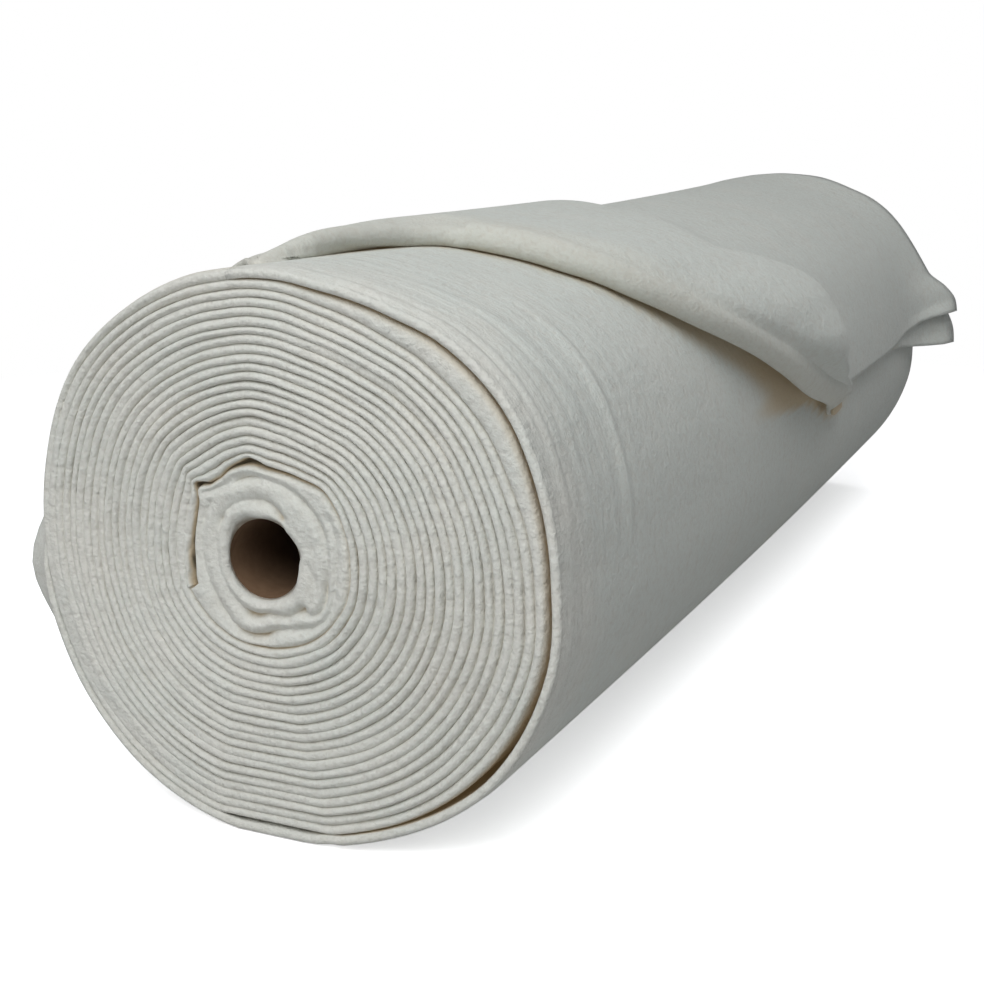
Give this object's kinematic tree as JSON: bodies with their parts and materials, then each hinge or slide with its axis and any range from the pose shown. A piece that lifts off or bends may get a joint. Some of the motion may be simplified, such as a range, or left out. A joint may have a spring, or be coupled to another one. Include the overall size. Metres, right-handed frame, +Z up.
{
  "type": "roll of quilt batting",
  "caption": "Thick roll of doubled cotton batting on a paper tube, lying on its side, with its loose end laid back over the top and one corner turned under.",
  "frame": {"origin": "on the floor, under the middle of the roll, halfway between the roll's two ends", "axes": "+Z up; +Y along the roll, from the open near end, where the doubled batting is folded, to the far end with its cut edges; +X towards the side that the loose end reaches down"},
  "size_m": [0.4345, 1.166, 0.3813],
  "materials": {
    "batting": "soft, matt, needled cotton",
    "paperboard": "plain brown spiral-wound paper"
  },
  "bodies": {
    "root": {"core_tube": "paperboard", "wound_roll": "batting", "loose_end": "batting"}
  },
  "joints": []
}
